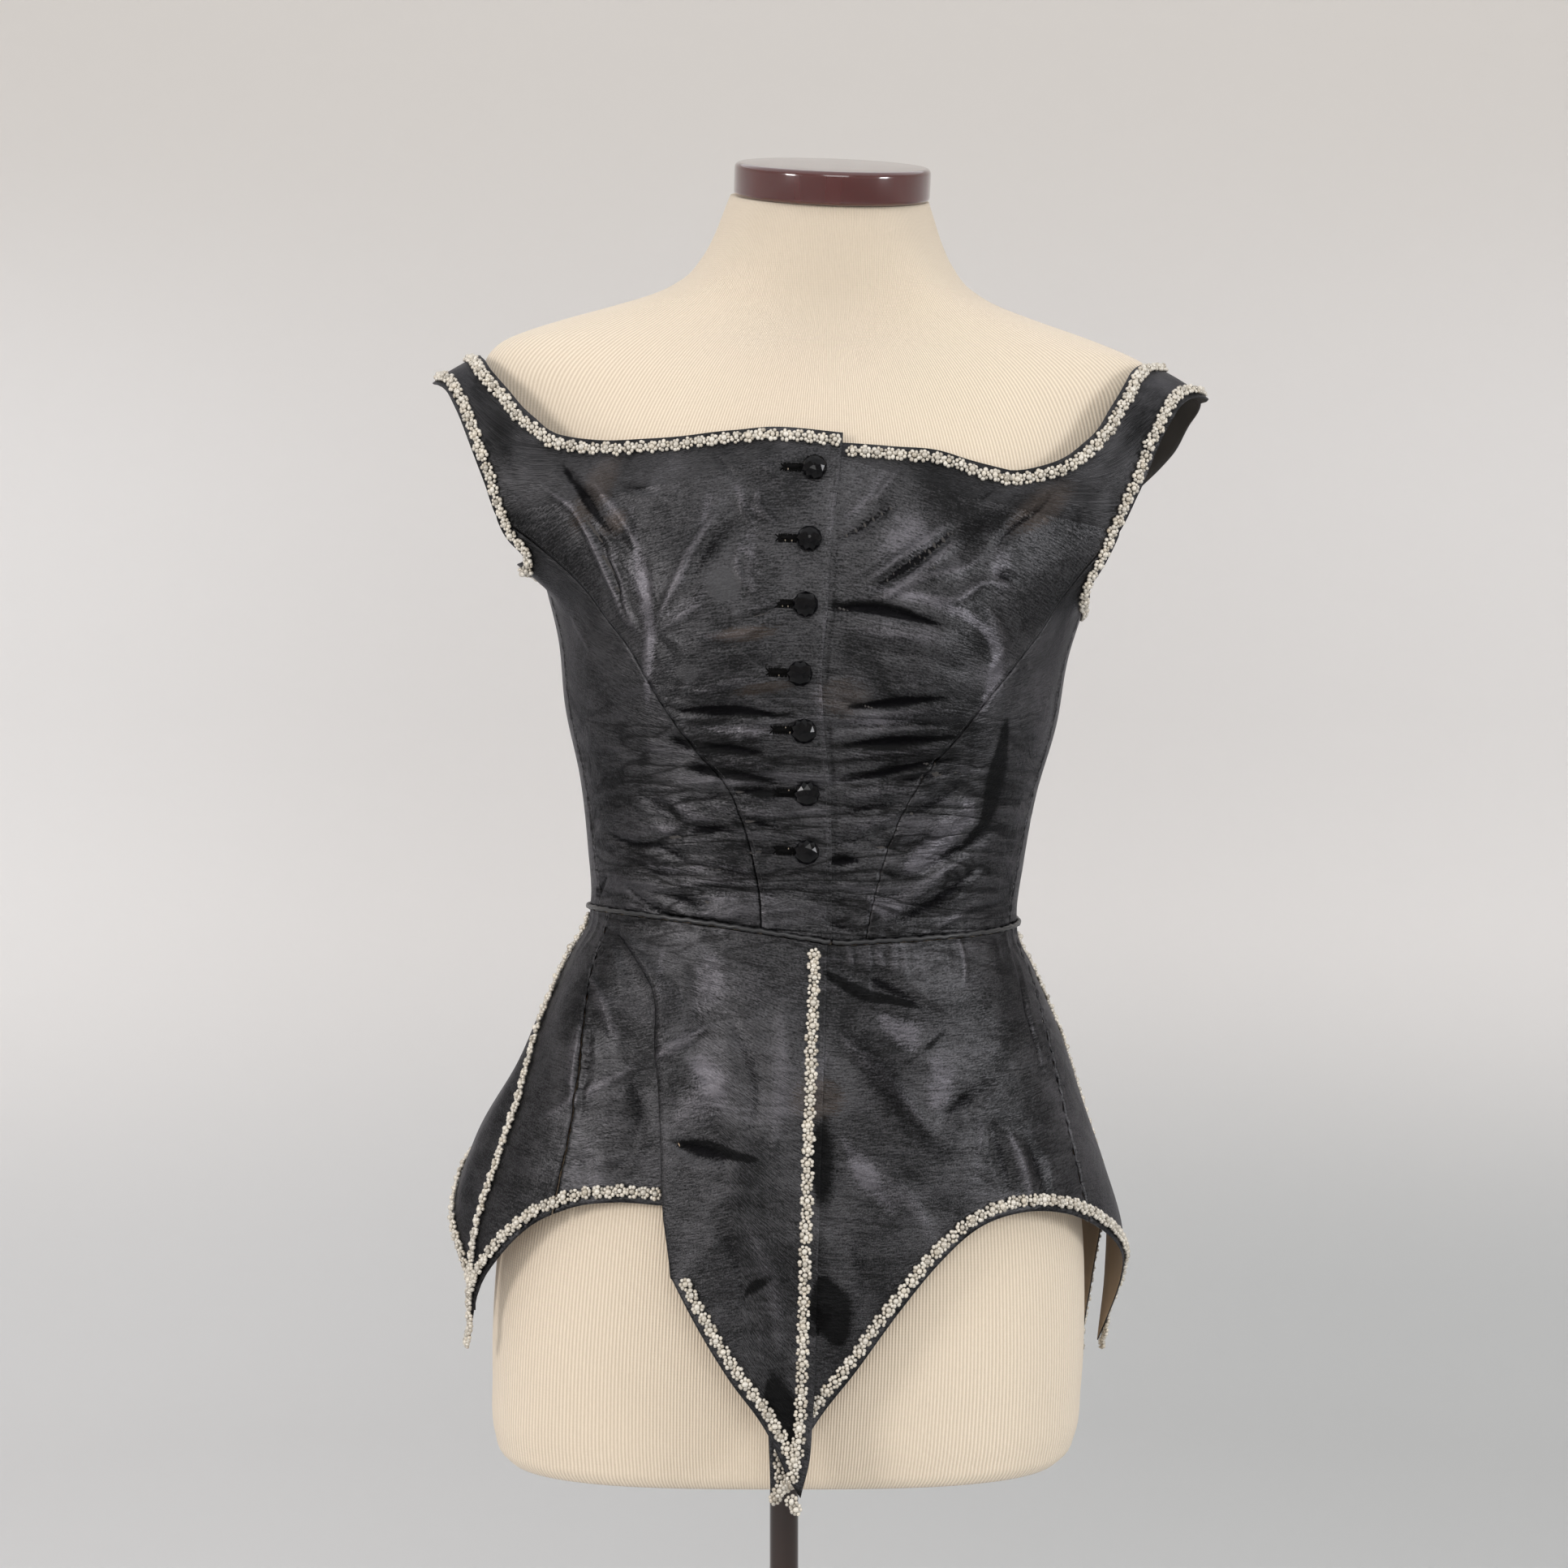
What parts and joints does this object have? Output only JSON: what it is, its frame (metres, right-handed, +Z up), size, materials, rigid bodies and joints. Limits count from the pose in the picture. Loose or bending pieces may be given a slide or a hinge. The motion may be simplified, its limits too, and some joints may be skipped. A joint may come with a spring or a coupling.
{
  "type": "swiss waist on a dress form",
  "caption": "Sleeveless black silk bodice with wide straps, a buttoned front, a pointed peplum and bead edging, on a limbless dress form and stand.",
  "frame": {"origin": "centre of the stand's round foot, on the floor", "axes": "+Z up along the pole, -Y the wearer's front, +X the wearer's left"},
  "size_m": [0.4513, 0.3282, 1.5271],
  "materials": {
    "silk_taffeta": "black silk taffeta with a soft cool sheen and worn creases",
    "glass_beads": "clear and silvered glass seed beads sewn as small flowers",
    "jet": "faceted black jet, highly polished",
    "rib_knit": "cream rib-knit cotton stretched over the form",
    "red_lacquer": "dark red lacquered wood",
    "dark_wood": "dark brown varnished wood"
  },
  "bodies": {
    "root": {"bodice_back_left": "silk_taffeta", "bodice_back_right": "silk_taffeta", "bodice_front_left": "silk_taffeta", "bodice_front_right": "silk_taffeta", "bodice_side_back_left": "silk_taffeta", "bodice_side_back_right": "silk_taffeta", "bodice_side_front_left": "silk_taffeta", "bodice_side_front_right": "silk_taffeta", "button_1": "jet", "button_2": "jet", "button_3": "jet", "button_4": "jet", "button_5": "jet", "button_6": "jet", "button_7": "jet", "form_torso": "rib_knit", "neck_cap": "red_lacquer", "peplum_back_left": "silk_taffeta", "peplum_back_right": "silk_taffeta", "peplum_front_left": "silk_taffeta", "peplum_front_right": "silk_taffeta", "peplum_side_left": "silk_taffeta", "peplum_side_right": "silk_taffeta", "pole": "dark_wood", "pole_boss": "dark_wood", "pole_flange": "dark_wood", "stand_base": "dark_wood", "trim_armhole_left": "glass_beads", "trim_armhole_right": "glass_beads", "trim_back_centre_left": "glass_beads", "trim_back_centre_right": "glass_beads", "trim_back_hem_left": "glass_beads", "trim_back_hem_right": "glass_beads", "trim_back_slit_left": "glass_beads", "trim_back_slit_right": "glass_beads", "trim_centre_left": "glass_beads", "trim_centre_right": "glass_beads", "trim_hem_left": "glass_beads", "trim_hem_right": "glass_beads", "trim_hem_side_right": "glass_beads", "trim_neck_back": "glass_beads", "trim_neck_left": "glass_beads", "trim_neck_right": "glass_beads", "trim_slit_left": "glass_beads", "trim_slit_right": "glass_beads", "waist_piping_left": "silk_taffeta", "waist_piping_right": "silk_taffeta"}
  },
  "joints": []
}
